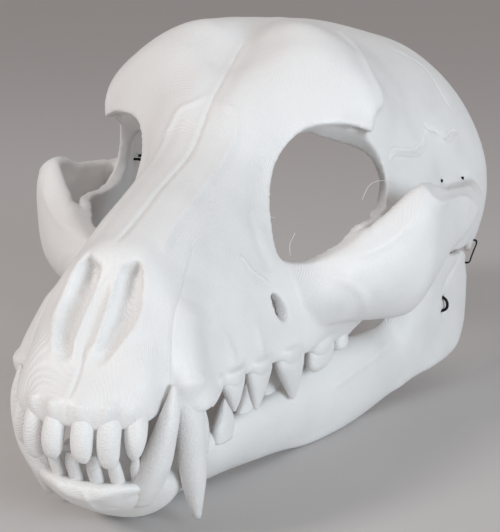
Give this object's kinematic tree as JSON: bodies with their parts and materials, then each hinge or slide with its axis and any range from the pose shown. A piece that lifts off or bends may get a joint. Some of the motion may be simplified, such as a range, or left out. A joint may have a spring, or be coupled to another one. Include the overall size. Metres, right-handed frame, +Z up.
{
  "type": "canine skull mask",
  "caption": "Hollow wearable canine skull in white printed plastic, with a toothed lower jaw hung on wire loops and drawn shut by springs.",
  "frame": {"origin": "middle of the model's foot, on the surface it stands on", "axes": "+Z up, the snout points to -Y, +X is the animal's left side"},
  "size_m": [0.218, 0.3118, 0.196],
  "materials": {
    "printed_white": "printed in fine layers, slightly glossy",
    "dark_wire": "blackened steel wire, satin"
  },
  "bodies": {
    "skull": {"skull": "printed_white", "spring_left": "dark_wire", "spring_right": "dark_wire", "upper_wire_left": "dark_wire", "upper_wire_right": "dark_wire", "hinge_wire_left": "dark_wire", "hinge_wire_right": "dark_wire"},
    "jaw": {"jaw": "printed_white", "lower_ring_left": "dark_wire", "lower_ring_right": "dark_wire"}
  },
  "joints": [
    {"name": "jaw_hinge", "type": "hinge", "parent": "skull", "child": "jaw", "pos_m": [0, 0.1419, 0.0604], "axis": [1, 0, 0], "range_deg": [0, 25], "stiffness_Nm_per_rad": 0.6, "springref_deg": -28.65, "deforming": ["spring_left", "spring_right"]}
  ]
}
